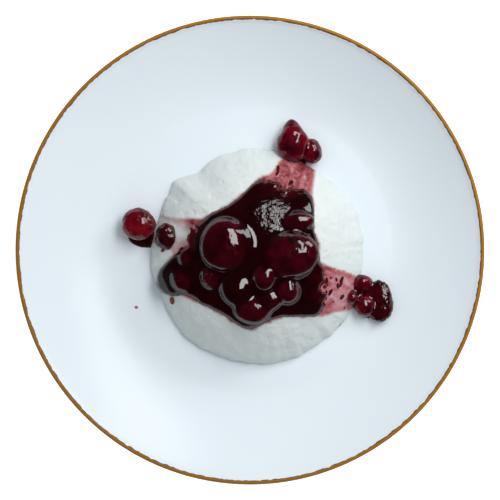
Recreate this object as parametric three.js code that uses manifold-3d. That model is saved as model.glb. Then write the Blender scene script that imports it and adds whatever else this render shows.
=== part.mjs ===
// A domed panna cotta under a dark cherry compote, on its gilt-edged coupe plate.
// Millimetres, +Z up. The origin is the middle of the plate's foot, at table height.
import * as THREE from 'three';
import { mergeVertices } from 'three/addons/utils/BufferGeometryUtils.js';
import Module from 'manifold-3d';

const wasm = await Module();
wasm.setup();

// ---------------------------------------------------------------- driving dimensions
const GAP = 0.3;                 // clearance kept between pieces that touch

const PLATE_RADIUS = 105;        // outside of the rim
const PLATE_HEIGHT = 22;         // table to the top of the rim
const FLOOR_Z = 6;               // top of the flat middle
const FLOOR_RADIUS = 64;         // where the well starts to curve up
const WALL = 4;                  // thickness of the curved wall
const RIM_ROUND = 1.3;           // radius of the rounded lip
const FOOT_RADIUS = 60;          // outside of the foot ring
const FOOT_WIDTH = 5;
const FOOT_HEIGHT = 2.4;
const FOOT_HOLLOW = 1.6;         // table to the face inside the foot ring
const FOOT_INNER_SLOPE = 2;      // how far the ring's inner side leans
const FOOT_OUTER_SLOPE = 1.2;
const UNDERSIDE_START = 63;      // where the underside leaves the foot ring
const PLATE_SECTORS = 40;
const WELL_POWER = 1.5;          // how sharply the well turns up
const WELL_STEPS = 5;

const DOME_X = 3.2;              // the dome stands a little off the plate's middle
const DOME_Y = -2.9;
const DOME_RADIUS = 48.9;
const CAP_HEIGHT = 23;           // of the round cap that the mould gave it
const FOOT_BULGE = 2.6;          // the soft rounded foot under the cap
const FOOT_SQUARENESS = 8;       // a higher power turns the foot down later and more sharply
const DOME_SECTORS = 34;
const DOME_RINGS = 7;

const COMPOTE_DEPTH = 6;         // over the crown of the dome
const COMPOTE_EDGE = 1.0;        // where it thins out
const COMPOTE_SQUARENESS = 3;    // a higher power keeps it deep further out
const COMPOTE_SINK = 2.5;        // how far the raw blank dips into the dome before it is cut
const COMPOTE_SECTORS = 32;
const COMPOTE_RINGS = 3;

// ---------------------------------------------------------------- the dome's outline and height
// The edge swells and dips a little where the set cream slumped: [bearing, half width, swell].
const SWELLS = [
  [137, 6, 2.4], [124, 6, -1.6], [95, 18, 1.0], [59, 10, -1.5],
  [26, 14, 1.4], [-32, 14, 1.0], [-88, 16, 0.8], [-157, 13, -1.3],
];

function bearingGap(a, b) {
  return Math.abs(((a - b + 540) % 360 + 360) % 360 - 180);
}

function domeReach(bearing) {
  return SWELLS.reduce((reach, [at, halfWidth, swell]) => {
    const away = bearingGap(bearing, at) / halfWidth;
    return reach + swell * Math.exp(-away * away);
  }, DOME_RADIUS);
}

function bearingFromDome(x, y) {
  return THREE.MathUtils.radToDeg(Math.atan2(y - DOME_Y, x - DOME_X));
}

// Height of the cream at a share of the way out from its middle: a cap of a sphere on a rounded foot.
function domeHeight(share) {
  const sphere = (DOME_RADIUS ** 2 + CAP_HEIGHT ** 2) / (2 * CAP_HEIGHT);
  const cap = Math.sqrt(sphere ** 2 - (share * DOME_RADIUS) ** 2) - (sphere - CAP_HEIGHT);
  return cap + FOOT_BULGE * Math.sqrt(1 - share ** FOOT_SQUARENESS);
}

// Height of the cream above the plate's floor at a place on the plate, 0 outside it.
function domeTop(x, y) {
  const share = Math.hypot(x - DOME_X, y - DOME_Y) / domeReach(bearingFromDome(x, y));
  return share < 1 ? domeHeight(share) : 0;
}

// ---------------------------------------------------------------- the compote's outline and depth
// How far the thick sauce runs from the dome's middle: [bearing, reach].
const RUNS = [
  [-178, 40], [-171, 45], [-163, 46.6], [-156, 43], [-149, 36], [-137, 32.5], [-122, 30.3],
  [-108, 31.2], [-94, 32.4], [-80, 29.5], [-71, 28.8], [-54, 33], [-42, 38.6], [-30, 34.8],
  [-14, 30], [-4, 28], [12, 27.6], [26, 28.4], [40, 33], [50, 37], [63, 33], [72, 32.6],
  [83, 34.6], [97, 31], [108, 27.6], [122, 26.3], [140, 28.6], [152, 30.6], [166, 32.4],
];

function compoteReach(bearing) {
  const turned = RUNS.map(([at]) => ((at - bearing) % 360 + 360) % 360);
  const next = turned.indexOf(Math.min(...turned));
  const before = (next + RUNS.length - 1) % RUNS.length;
  const toNext = turned[next];
  const fromBefore = 360 - turned[before];
  const share = fromBefore / (fromBefore + toNext);
  const eased = share * share * (3 - 2 * share);
  return THREE.MathUtils.lerp(RUNS[before][1], RUNS[next][1], eased);
}

// Depth of the sauce at a share of the way out to its edge: full in the middle, rounded off outside.
function compoteDepth(share) {
  return COMPOTE_EDGE + (COMPOTE_DEPTH - COMPOTE_EDGE) * Math.sqrt(1 - share ** COMPOTE_SQUARENESS);
}

// ---------------------------------------------------------------- the fruit
// Each piece: its middle on the plate, its width, depth and height, the turn of its width from +X, how
// far its underside sinks below what carries it, and the places where its skin is pushed out or in:
// [bearing, elevation, half width, push as a share of its half size], in degrees.
const FRUIT = [
  { name: 'cherry_left', at: [-11.1, 2.7], size: [21, 22.5, 11], turn: 0, sink: 4.2,
    pushes: [[215, 15, 40, 0.1], [-35, 10, 40, 0.06], [60, 30, 40, -0.05]] },
  { name: 'cherry_right', at: [18.2, -2.3], size: [24, 19.5, 11], turn: 8, sink: 4.2,
    pushes: [[190, 10, 40, 0.06], [-40, 10, 40, 0.05], [40, 30, 45, 0.06]] },
  { name: 'cherry_upper', at: [21.2, 12.4], size: [14, 8.4, 7], turn: 8, sink: 2.6,
    pushes: [[-90, 40, 40, -0.15], [0, 0, 40, 0.06]] },
  { name: 'berry_centre', at: [6.4, -12.6], size: [10, 11.6, 8], turn: -10, sink: 3,
    pushes: [[60, 30, 40, 0.06]] },
  { name: 'berry_right', at: [17, -18.3], size: [9.6, 11.2, 7.4], turn: 10, sink: 2.8,
    pushes: [[90, 30, 35, 0.08], [-60, 10, 40, -0.05]] },
  { name: 'berry_low', at: [8.8, -22.4], size: [9, 8.2, 5.6], turn: 0, sink: 2.2,
    pushes: [[-90, 0, 40, 0.06]] },
  { name: 'berry_bottom', at: [1.2, -26.4], size: [15, 12, 8], turn: -8, sink: 3,
    pushes: [[200, 10, 40, 0.1], [-80, 0, 40, 0.06]] },
  { name: 'cherry_dark', at: [-6.2, -17.4], size: [12, 14, 7], turn: 20, sink: 3,
    pushes: [[120, 60, 40, -0.08]] },
  { name: 'berry_torn', at: [-17, -12.2], size: [9.4, 9.4, 4.8], turn: -20, sink: 2,
    pushes: [[160, 30, 35, -0.14], [20, 40, 30, 0.1]] },
  { name: 'berry_left_low', at: [-29.8, -12.8], size: [9.6, 10.8, 6], turn: 0, sink: 2.4,
    pushes: [[60, 20, 35, 0.08], [200, 10, 45, -0.08]] },
  { name: 'berry_left_high', at: [-28.2, -3.8], size: [6, 7.4, 4.4], turn: 20, sink: 1.6,
    pushes: [[90, 20, 40, 0.05]] },
  { name: 'berry_west', at: [-50.6, 11.6], size: [15.4, 14.4, 11], turn: 15, sink: 0,
    pushes: [[-20, 20, 35, 0.08], [110, 10, 35, 0.06], [220, -10, 45, -0.05]] },
  { name: 'berry_west_small', at: [-37.8, 6], size: [9.8, 12.4, 7], turn: 0, sink: 2,
    pushes: [[200, 30, 35, -0.12], [-110, 20, 35, -0.12]] },
  { name: 'berry_north', at: [19.6, 49], size: [14.4, 18, 11], turn: 6, sink: 0,
    pushes: [[98, 0, 26, 0.12], [215, 0, 35, 0.14], [148, 5, 24, -0.1], [40, 5, 28, -0.14]] },
  { name: 'berry_north_small', at: [27.8, 44.8], size: [9.4, 11.2, 8.4], turn: 12, sink: 0,
    pushes: [[-50, 0, 40, 0.06]] },
  { name: 'berry_east_high', at: [50.8, -14.8], size: [9.4, 7.4, 6.6], turn: -18, sink: 0,
    pushes: [[0, 0, 35, 0.1]] },
  { name: 'berry_east_low', at: [52, -25.4], size: [9, 9.8, 7.6], turn: 0, sink: 0,
    pushes: [[120, 30, 40, 0.06]] },
  { name: 'berry_east_flat', at: [58.2, -23.4], size: [13, 18.4, 8], turn: 6, sink: 0,
    pushes: [[185, 58, 36, -0.7], [75, 5, 28, 0.08], [-25, 15, 30, 0.06]] },
  { name: 'berry_east_tiny', at: [46.2, -21.4], size: [4.6, 6, 4.6], turn: 0, sink: 0.8,
    pushes: [[0, 0, 40, 0.05]] },
];
const BIG_FRUIT = 20;            // widths from here on get the finer facets
const FINE_FACETS = 3;
const PLAIN_FACETS = 2;

function directionAt(bearing, elevation) {
  const flat = Math.cos(THREE.MathUtils.degToRad(elevation));
  const around = THREE.MathUtils.degToRad(bearing);
  const up = Math.sin(THREE.MathUtils.degToRad(elevation));
  return new THREE.Vector3(flat * Math.cos(around), flat * Math.sin(around), up);
}

// A soft cooked fruit: a round form with its skin pushed out and in, then drawn to its three sizes.
function fruitGeometry({ size, turn, pushes }, spare = 0) {
  const facets = size[0] >= BIG_FRUIT ? FINE_FACETS : PLAIN_FACETS;
  const geometry = new THREE.IcosahedronGeometry(1, facets);
  const spots = pushes.map(([bearing, elevation, halfWidth, push]) => (
    { toward: directionAt(bearing - turn, elevation), halfWidth, push }
  ));
  const place = geometry.attributes.position;
  const point = new THREE.Vector3();
  for (let i = 0; i < place.count; i += 1) {
    point.fromBufferAttribute(place, i).normalize();
    const swell = spots.reduce((sum, { toward, halfWidth, push }) => {
      const away = THREE.MathUtils.radToDeg(point.angleTo(toward)) / halfWidth;
      return sum + push * Math.exp(-away * away);
    }, 1);
    point.multiplyScalar(swell);
    place.setXYZ(i, point.x, point.y, point.z);
  }
  geometry.scale(size[0] / 2 + spare, size[1] / 2 + spare, size[2] / 2 + spare);
  geometry.rotateZ(THREE.MathUtils.degToRad(turn));
  return geometry;
}

// ---------------------------------------------------------------- solids: to and from the cutting library
function toSolid(geometry) {
  const bare = geometry.clone();
  bare.deleteAttribute('normal');
  bare.deleteAttribute('uv');
  const merged = mergeVertices(bare);
  return new wasm.Manifold(new wasm.Mesh({
    numProp: 3,
    vertProperties: new Float32Array(merged.attributes.position.array),
    triVerts: new Uint32Array(merged.index.array),
  }));
}

// Keeps only the largest piece, so that a cut leaves no loose crumb.
function toGeometry(solid) {
  const whole = solid.decompose().reduce((a, b) => (a.volume() > b.volume() ? a : b));
  const { vertProperties, triVerts } = whole.getMesh();
  const geometry = new THREE.BufferGeometry();
  geometry.setAttribute('position', new THREE.BufferAttribute(vertProperties, 3));
  geometry.setIndex(new THREE.BufferAttribute(triVerts, 1));
  geometry.computeVertexNormals();
  return geometry;
}

// A closed body over rings round the dome's middle, with a plain fan of faces underneath.
// reachAt(bearing) is its edge; topAt and underAt give heights at x, y and the share of the reach.
function ringedSolid({ sectors, rings, reachAt, topAt, underAt }) {
  const corners = [];
  const faces = [];
  const addMiddle = (heightAt) => {
    corners.push(DOME_X, DOME_Y, heightAt(DOME_X, DOME_Y, 0));
    return corners.length / 3 - 1;
  };
  const addRing = (heightAt, share) => {
    const first = corners.length / 3;
    for (let sector = 0; sector < sectors; sector += 1) {
      const bearing = (sector / sectors) * 360;
      const reach = reachAt(bearing) * share;
      const around = THREE.MathUtils.degToRad(bearing);
      const x = DOME_X + reach * Math.cos(around);
      const y = DOME_Y + reach * Math.sin(around);
      corners.push(x, y, heightAt(x, y, share));
    }
    return (sector) => first + (sector % sectors);
  };
  // A strip of faces between two rings, seen from above with `inner` nearer the middle.
  const addStrip = (inner, outer) => {
    for (let sector = 0; sector < sectors; sector += 1) {
      faces.push(inner(sector), outer(sector), outer(sector + 1));
      faces.push(inner(sector), outer(sector + 1), inner(sector + 1));
    }
  };
  const crown = addMiddle(topAt);
  const ringAt = (ring) => addRing(topAt, Math.sin((ring / rings) * (Math.PI / 2)));
  let inner = ringAt(1);
  for (let sector = 0; sector < sectors; sector += 1) {
    faces.push(crown, inner(sector), inner(sector + 1));
  }
  for (let ring = 2; ring <= rings; ring += 1) {
    const outer = ringAt(ring);
    addStrip(inner, outer);
    inner = outer;
  }
  const base = addMiddle(underAt);
  const hem = addRing(underAt, 1);
  addStrip(inner, hem);
  for (let sector = 0; sector < sectors; sector += 1) {
    faces.push(base, hem(sector + 1), hem(sector));
  }
  const geometry = new THREE.BufferGeometry();
  geometry.setAttribute('position', new THREE.Float32BufferAttribute(corners, 3));
  geometry.setIndex(faces);
  return geometry;
}

// ---------------------------------------------------------------- the plate
// The well rises from the flat floor in one growing curve up to the rim.
function wellHeight(radius) {
  const share = Math.max(0, (radius - FLOOR_RADIUS) / (PLATE_RADIUS - FLOOR_RADIUS));
  return FLOOR_Z + (PLATE_HEIGHT - FLOOR_Z) * share ** WELL_POWER;
}

function plateGeometry() {
  const lipRadius = PLATE_RADIUS - RIM_ROUND;
  const lipZ = PLATE_HEIGHT - RIM_ROUND;
  const footInside = FOOT_RADIUS - FOOT_WIDTH;
  const profile = [
    [0, FOOT_HOLLOW],
    [footInside - FOOT_INNER_SLOPE, FOOT_HOLLOW],
    [footInside, 0],
    [FOOT_RADIUS, 0],
    [FOOT_RADIUS + FOOT_OUTER_SLOPE, FOOT_HEIGHT],
  ];
  for (let step = 0; step < WELL_STEPS; step += 1) {
    const radius = THREE.MathUtils.lerp(UNDERSIDE_START, lipRadius, step / WELL_STEPS);
    profile.push([radius, wellHeight(radius) - WALL]);
  }
  profile.push([PLATE_RADIUS, lipZ], [lipRadius, PLATE_HEIGHT]);
  for (let step = 1; step <= WELL_STEPS; step += 1) {
    const radius = THREE.MathUtils.lerp(lipRadius - RIM_ROUND, FLOOR_RADIUS, step / WELL_STEPS);
    profile.push([radius, wellHeight(radius)]);
  }
  profile.push([0, FLOOR_Z]);
  const points = profile.map(([radius, z]) => new THREE.Vector2(radius, z));
  const geometry = new THREE.LatheGeometry(points, PLATE_SECTORS);
  geometry.rotateX(Math.PI / 2);
  return geometry;
}

// ---------------------------------------------------------------- making each piece
const creamZ = FLOOR_Z + GAP;    // the cream's underside

function domeGeometry(spare = 0) {
  return ringedSolid({
    sectors: DOME_SECTORS,
    rings: DOME_RINGS,
    reachAt: (bearing) => domeReach(bearing) + spare,
    topAt: (x, y, share) => creamZ + spare + domeHeight(share),
    underAt: () => creamZ - spare,
  });
}

function compoteBlank() {
  return ringedSolid({
    sectors: COMPOTE_SECTORS,
    rings: COMPOTE_RINGS,
    reachAt: compoteReach,
    topAt: (x, y, share) => creamZ + domeTop(x, y) + compoteDepth(share),
    underAt: (x, y) => creamZ + domeTop(x, y) - COMPOTE_SINK,
  });
}

// Rests a fruit on the cream, or beside it on the plate's floor.
function seatOf({ at, size, sink }) {
  const [x, y] = at;
  return new THREE.Vector3(x, y, creamZ + domeTop(x, y) + size[2] / 2 - sink);
}

const MATERIALS = {
  porcelain: new THREE.MeshStandardMaterial({ color: '#dde8f0', roughness: 0.12, metalness: 0 }),
  cream: new THREE.MeshStandardMaterial({ color: '#e4eae8', roughness: 0.5, metalness: 0 }),
  sauce: new THREE.MeshStandardMaterial({ color: '#26060a', roughness: 0.08, metalness: 0 }),
  fruit: new THREE.MeshStandardMaterial({ color: '#5c0612', roughness: 0.12, metalness: 0 }),
};

const group = new THREE.Group();

function addPiece(name, geometry, material) {
  const mesh = new THREE.Mesh(geometry, material);
  mesh.name = name;
  group.add(mesh);
}

const dome = domeGeometry();
const roomForDome = toSolid(domeGeometry(GAP));
addPiece('plate', plateGeometry(), MATERIALS.porcelain);
addPiece('panna_cotta', dome, MATERIALS.cream);

// Fruit is cut by the dome and by the fruit placed before it, each grown by the gap.
const fruitRooms = [];
for (const fruit of FRUIT) {
  const seat = seatOf(fruit);
  const placed = (spare) => toSolid(fruitGeometry(fruit, spare).translate(seat.x, seat.y, seat.z));
  let body = placed(0).subtract(roomForDome);
  for (const room of fruitRooms) {
    body = body.subtract(room);
  }
  fruitRooms.push(placed(GAP));
  addPiece(fruit.name, toGeometry(body), MATERIALS.fruit);
}

// The compote fills in round the fruit, over the dome.
let compote = toSolid(compoteBlank()).subtract(roomForDome);
for (const room of fruitRooms) {
  compote = compote.subtract(room);
}
addPiece('compote', toGeometry(compote), MATERIALS.sauce);

export default group;
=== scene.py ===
# %% [markdown]
# # A plated panna cotta
# The dessert is a low dome of set cream turned out on a gilt-edged coupe plate, with a dark cherry compote
# run over it and three little groups of cherries beside it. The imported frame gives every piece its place
# and size. Here each one gets a finely modelled surface and the finish of the real food.

# %% Load the frame
import math

import bmesh
import bpy
import numpy as np
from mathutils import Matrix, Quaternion, Vector, noise


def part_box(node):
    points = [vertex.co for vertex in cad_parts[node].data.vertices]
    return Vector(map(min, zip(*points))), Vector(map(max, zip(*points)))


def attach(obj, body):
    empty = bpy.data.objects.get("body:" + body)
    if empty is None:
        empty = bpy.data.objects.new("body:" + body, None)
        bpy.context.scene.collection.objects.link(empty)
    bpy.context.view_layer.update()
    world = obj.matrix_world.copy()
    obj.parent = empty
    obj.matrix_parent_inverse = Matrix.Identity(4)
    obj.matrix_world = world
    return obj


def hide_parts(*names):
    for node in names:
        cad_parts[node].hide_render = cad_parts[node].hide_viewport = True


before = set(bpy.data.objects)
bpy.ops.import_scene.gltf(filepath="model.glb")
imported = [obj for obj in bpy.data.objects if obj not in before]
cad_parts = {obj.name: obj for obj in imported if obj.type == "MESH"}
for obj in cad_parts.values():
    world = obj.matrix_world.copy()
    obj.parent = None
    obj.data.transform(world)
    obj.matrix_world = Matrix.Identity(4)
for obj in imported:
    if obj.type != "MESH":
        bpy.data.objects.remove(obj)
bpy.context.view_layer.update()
MM = 0.001
print("nodes in the frame:", len(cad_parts))

# %% [markdown]
# ## Small tools
# Materials are graphs of nodes. One function adds a node, sets it and links it, so that a material reads
# from top to bottom like a recipe. Colours are written as hex values, as a maker would mix them,
# and one function turns them to the linear values that light is worked out in.


# %% Colour and node helpers
def linear(hex_colour):
    """A colour such as "#B07B17" as linear red, green, blue and full alpha."""
    parts = [int(hex_colour[i : i + 2], 16) / 255 for i in (1, 3, 5)]
    return [p / 12.92 if p <= 0.04045 else ((p + 0.055) / 1.055) ** 2.4 for p in parts] + [1.0]


def add(tree, kind, inputs=None, **settings):
    """Adds a node. Each input is a number, a hex colour, a socket, or a node for its first output."""
    made = tree.nodes.new(kind)
    for name, value in settings.items():
        setattr(made, name, value)
    for name, value in (inputs or {}).items():
        if isinstance(value, bpy.types.Node):
            value = next(socket for socket in value.outputs if socket.enabled)
        if isinstance(value, bpy.types.NodeSocket):
            tree.links.new(value, made.inputs[name])
        else:
            made.inputs[name].default_value = linear(value) if isinstance(value, str) else value
    return made


def new_material(name):
    """An empty material, with its tree and the coordinates that patterns are laid out in."""
    material = bpy.data.materials.new(name)
    material.use_nodes = True
    tree = material.node_tree
    tree.nodes.clear()
    return material, tree, add(tree, "ShaderNodeTexCoord").outputs["Object"]


def per_mm(size_mm):
    """The scale of a pattern whose features are size_mm apart, in coordinates of metres."""
    return 1 / (size_mm * MM)


# %% Mesh helpers
def new_piece(name, corners_mm, faces, material, slot_name, nodes=()):
    """A smooth mesh from corners in millimetres, which rides on the root body and may replace nodes."""
    mesh = bpy.data.meshes.new(name)
    mesh.from_pydata((np.asarray(corners_mm) * MM).tolist(), [], [list(f) for f in faces])
    mesh.validate()
    mesh.polygons.foreach_set("use_smooth", [True] * len(mesh.polygons))
    piece = bpy.data.objects.new(name, mesh)
    bpy.context.scene.collection.objects.link(piece)
    mesh.materials.append(material)
    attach(piece, "root")
    if nodes:
        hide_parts(*nodes)
    return piece


def paint(piece, name, values):
    """Stores one number for each corner of a piece, for its material to read."""
    layer = piece.data.attributes.new(name, "FLOAT", "POINT")
    layer.data.foreach_set("value", np.asarray(values, dtype=np.float32))


def box_mm(node):
    """A node's lowest and highest corners, in millimetres."""
    low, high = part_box(node)
    return np.array(low) / MM, np.array(high) / MM


def fractal(points_mm, size_mm, octaves=3, seed=0.0):
    """Soft noise from -1 to 1 at each point, with features about size_mm across."""
    shift = Vector((seed, seed * 1.7, seed * 2.3))
    return np.array([noise.fractal(Vector(p) / size_mm + shift, 0.6, 2.0, octaves) for p in points_mm])


# %% [markdown]
# ## The plate
# A coupe plate has no rim: its flat middle turns up in one growing curve. It is thrown or pressed to that
# profile and turned, so one outline spun round the axis makes it. The glaze is a clear glass over white
# porcelain. It has a faint cool tint, and it is smooth enough to show the lamp as a soft-edged patch.

# %% The plate's sizes
plate_low, plate_high = box_mm("plate")
PLATE_RADIUS = (plate_high[0] - plate_low[0]) / 2
PLATE_HEIGHT = plate_high[2]
FLOOR_Z = 6.0
FLOOR_RADIUS = 64.0
WALL = 4.0
RIM_ROUND = 1.3
FOOT_RADIUS = 60.0
FOOT_WIDTH = 5.0
FOOT_HEIGHT = 2.4
WELL_POWER = 1.5
FOOT_ROUND = 1.2
FOOT_RECESS = 0.8
FOOT_FILLET = 3
AXIS_GAP = 0.01
print("plate radius and height in mm:", PLATE_RADIUS, PLATE_HEIGHT)


def well_height(radius):
    """Height of the plate's upper face at a distance from its middle."""
    share = np.clip((radius - FLOOR_RADIUS) / (PLATE_RADIUS - FLOOR_RADIUS), 0, None)
    return FLOOR_Z + (PLATE_HEIGHT - FLOOR_Z) * share**WELL_POWER


def arc(middle, radius, start, end, steps):
    """Points of an arc in the plane of a profile, angles in degrees."""
    angles = np.radians(np.linspace(start, end, steps))
    return [(middle[0] + radius * math.cos(a), middle[1] + radius * math.sin(a)) for a in angles]


def spin(profile, sectors, closed):
    """Corners and faces of a profile of radius and height spun round the Z axis."""
    profile = np.array(profile)
    angles = np.linspace(0, 2 * math.pi, sectors, endpoint=False)
    corners = np.array([(r * math.cos(a), r * math.sin(a), z) for a in angles for r, z in profile])
    count = len(profile)
    faces = []
    for s in range(sectors):
        here = s * count
        there = ((s + 1) % sectors) * count
        for k in range(count if closed else count - 1):
            after = (k + 1) % count
            faces.append((here + k, there + k, there + after, here + after))
    return corners, faces


# %% Spin the plate
SECTORS = 240
lip_radius = PLATE_RADIUS - RIM_ROUND
lip_z = PLATE_HEIGHT - RIM_ROUND
foot_inside = FOOT_RADIUS - FOOT_WIDTH
recess_z = FOOT_HEIGHT - FOOT_RECESS
outline = [(AXIS_GAP, recess_z), (foot_inside - FOOT_FILLET, recess_z)]
outline += arc((foot_inside + FOOT_ROUND, FOOT_ROUND), FOOT_ROUND, 180, 270, 5)
outline += arc((FOOT_RADIUS - FOOT_ROUND, FOOT_ROUND), FOOT_ROUND, 270, 360, 5)
outline += [(FOOT_RADIUS + 0.4, FOOT_HEIGHT)]
under = np.linspace(FOOT_RADIUS + FOOT_FILLET, lip_radius, 30)
outline += [(r, well_height(r) - WALL) for r in under[:-1]]
outline += arc((lip_radius, lip_z), RIM_ROUND, -40, 90, 9)
over = np.linspace(lip_radius - RIM_ROUND, FLOOR_RADIUS, 40)
outline += [(r, well_height(r)) for r in over]
outline += [(r, FLOOR_Z) for r in np.linspace(FLOOR_RADIUS - 3, AXIS_GAP, 12)]
plate_corners, plate_faces = spin(outline, SECTORS, closed=False)


# %% [markdown]
# The glaze varies only a little, as a good factory plate does: broad, barely seen clouds in its tint, and a
# faint waviness, called orange peel, where the melted glass pulled itself flat.


# %% Glazed porcelain
def glazed_porcelain():
    """Fired porcelain under clear glaze: cool white, with a soft gloss and a faint mirror image."""
    material, tree, place = new_material("glazed_porcelain")
    clouds = add(tree, "ShaderNodeTexNoise", {"Vector": place, "Scale": per_mm(60), "Detail": 2.0})
    tint = add(tree, "ShaderNodeMix", {"Factor": clouds, "A": "#DDE6EC", "B": "#E3EBF0"}, data_type="RGBA")
    peel = add(tree, "ShaderNodeTexNoise", {"Vector": place, "Scale": per_mm(7), "Detail": 1.0})
    gloss = add(tree, "ShaderNodeMapRange", {"Value": clouds, "To Min": 0.19, "To Max": 0.23})
    bump = add(tree, "ShaderNodeBump", {"Height": peel, "Strength": 0.05, "Distance": 0.0002})
    finish = {"Base Color": tint, "Roughness": gloss, "IOR": 1.25, "Normal": bump}
    shader = add(tree, "ShaderNodeBsdfPrincipled", finish)
    add(tree, "ShaderNodeOutputMaterial", {"Surface": shader})
    return material


plate = new_piece("glazed_plate", plate_corners, plate_faces, glazed_porcelain(), "porcelain", ["plate"])
print("plate faces:", len(plate.data.polygons))

# %% [markdown]
# ## The gilt edge
# Liquid gold is banded on the lip by hand with a soft brush, over the fired glaze, and fired again. Its
# inner edge wanders a little, with a thin brown line where the gold lies thin. Both are thin rings that
# follow the lip. The brown one lies just under the gold and reaches a little further in.

# %% Band the lip
BAND_INNER = PLATE_RADIUS - 1.5
BAND_SKIN = 0.03
LIP_SECTORS = 720
LIP_STEPS = 10
FLAT_STEPS = 4
WANDER_SCALE = 40


def lip_height(radius):
    """Height of the short straight rise from the well's curve to the top of the lip."""
    start = lip_radius - RIM_ROUND
    share = np.clip((radius - start) / RIM_ROUND, 0, 1)
    foot = well_height(np.minimum(radius, start))
    return foot + (PLATE_HEIGHT - well_height(start)) * share


def lip_ring(name, inner_radius, ragged, skin, material, seed):
    """A thin ring over the lip, whose inner edge wanders by `ragged` millimetres."""
    corners = []
    for s in range(LIP_SECTORS):
        angle = 2 * math.pi * s / LIP_SECTORS
        round_trip = Vector((math.cos(angle) * WANDER_SCALE, math.sin(angle) * WANDER_SCALE, seed))
        wander = noise.fractal(round_trip, 0.5, 2.0, 4) * ragged
        inner = inner_radius + wander
        path = [(r, lip_height(r) + skin) for r in np.linspace(inner, lip_radius - 0.02, FLAT_STEPS)]
        path += arc((lip_radius, lip_z), RIM_ROUND + skin, 90, 5, LIP_STEPS - FLAT_STEPS)
        corners += [(r * math.cos(angle), r * math.sin(angle), z) for r, z in path]
    faces = []
    for s in range(LIP_SECTORS):
        here = s * LIP_STEPS
        there = ((s + 1) % LIP_SECTORS) * LIP_STEPS
        faces += [(here + k, here + k + 1, there + k + 1, there + k) for k in range(LIP_STEPS - 1)]
    return new_piece(name, corners, faces, material, "porcelain")


def fired_gold(name, light_tone, dark_tone, metal, rough):
    """Gold lustre brushed on and fired: a thin metal skin, with the brush's long streaks in it."""
    material, tree, place = new_material(name)
    patches = add(tree, "ShaderNodeTexNoise", {"Vector": place, "Scale": per_mm(2.5), "Detail": 4.0})
    tone = add(tree, "ShaderNodeMix", {"Factor": patches, "A": light_tone, "B": dark_tone}, data_type="RGBA")
    bump = add(tree, "ShaderNodeBump", {"Height": patches, "Strength": 0.3, "Distance": 0.0001})
    shader = add(
        tree,
        "ShaderNodeBsdfPrincipled",
        {
            "Base Color": tone,
            "Metallic": metal,
            "Roughness": rough,
            "Specular IOR Level": 0.25,
            "Normal": bump,
        },
    )
    add(tree, "ShaderNodeOutputMaterial", {"Surface": shader})
    return material


thin_gold = fired_gold("thin_fired_gold", "#5A3A2A", "#8A5A34", 0.0, 0.45)
full_gold = fired_gold("fired_gold", "#A87012", "#9A640A", 0.12, 0.55)
lip_ring("gilt_line", BAND_INNER - 0.35, 0.3, BAND_SKIN, thin_gold, 3.0)
lip_ring("gilt_band", BAND_INNER, 0.12, BAND_SKIN * 2, full_gold, 8.0)
print("gilt band laid from radius", BAND_INNER)

# %% [markdown]
# ## The panna cotta
# Cream set with a little gelatine and turned out of a round bowl. It keeps the bowl's curve but sags at its
# foot, and its skin shows the bowl's marks as shallow lumps, pits and smeared ridges. A polar net of small
# faces over one height formula gives all of that, fine enough for the lumps to be real relief.

# %% The dome's sizes and outline
DOME_MIDDLE = np.array([3.2, -2.9])
DOME_RADIUS = 48.9
CAP_HEIGHT = 23.0
FOOT_BULGE = 2.6
FOOT_SQUARENESS = 8
FALL_OUTSIDE = 60
# The edge swells and dips: bearing and half width in degrees, swell in millimetres.
SWELLS = [
    (137, 6, 2.4), (124, 6, -1.6), (95, 18, 1.0), (59, 10, -1.5),
    (26, 14, 1.4), (-32, 14, 1.0), (-88, 16, 0.8), (-157, 13, -1.3),
]


def around(bearing, at):
    """The angle between two bearings, in degrees."""
    return np.abs((bearing - at + 540) % 360 - 180)


def band(bearing, at, half_width, squareness=4):
    """1 along a bearing and 0 well beyond its half width; a higher squareness gives it a flatter top."""
    return np.exp(-((around(bearing, at) / half_width) ** squareness))


def polar(x, y, middle=DOME_MIDDLE):
    """How far places are from a middle, and their bearings from it in degrees."""
    east, north = x - middle[0], y - middle[1]
    return np.hypot(east, north), np.degrees(np.arctan2(north, east))


def dome_reach(bearing):
    """The dome's radius at a bearing from its middle."""
    reach = np.full(np.shape(bearing), DOME_RADIUS)
    for at, half_width, swell in SWELLS:
        reach = reach + swell * band(bearing, at, half_width, squareness=2)
    return reach


def dome_height(share):
    """Height at a share of the way out: a cap of a sphere on a soft, rounded foot."""
    sphere = (DOME_RADIUS**2 + CAP_HEIGHT**2) / (2 * CAP_HEIGHT)
    inner = np.clip(share, 0, 1)
    cap = np.sqrt(sphere**2 - (inner * DOME_RADIUS) ** 2) - (sphere - CAP_HEIGHT)
    return cap + FOOT_BULGE * np.sqrt(1 - inner**FOOT_SQUARENESS)


def dome_top(x, y):
    """Height of the plain dome over the plate's floor, under zero outside it."""
    across, bearing = polar(x, y)
    share = across / dome_reach(bearing)
    return np.where(share < 1, dome_height(share), -FALL_OUTSIDE * (share - 1))


# %% The fine dome
DOME_RINGS = 150
DOME_SPOKES = 420
WANDER_RING = 30
EDGE_WANDER = 0.9
EDGE_WANDER_SIZE = 7
# The skin faces more and more upward from the foot to the crown.
RISE_SHARE = 1.6
CROWN_LIFT = 12
# The bowl's marks: height and size in millimetres, then octaves and seed, of each layer of lumps.
DOME_LUMPS = ((0.45, 14, 3, 1.0), (0.16, 4, 3, 5.0))
PIT_SIZE = 2.2
PIT_THRESHOLD = 0.35
PIT_DEPTH = 0.5
EDGE_RELIEF = 0.25
RELIEF_FADE = 30


def ring_of(turns):
    """Places on a ring, at which the wander of a closed edge is read."""
    return np.column_stack([np.cos(turns), np.sin(turns), 0 * turns]) * WANDER_RING


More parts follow.
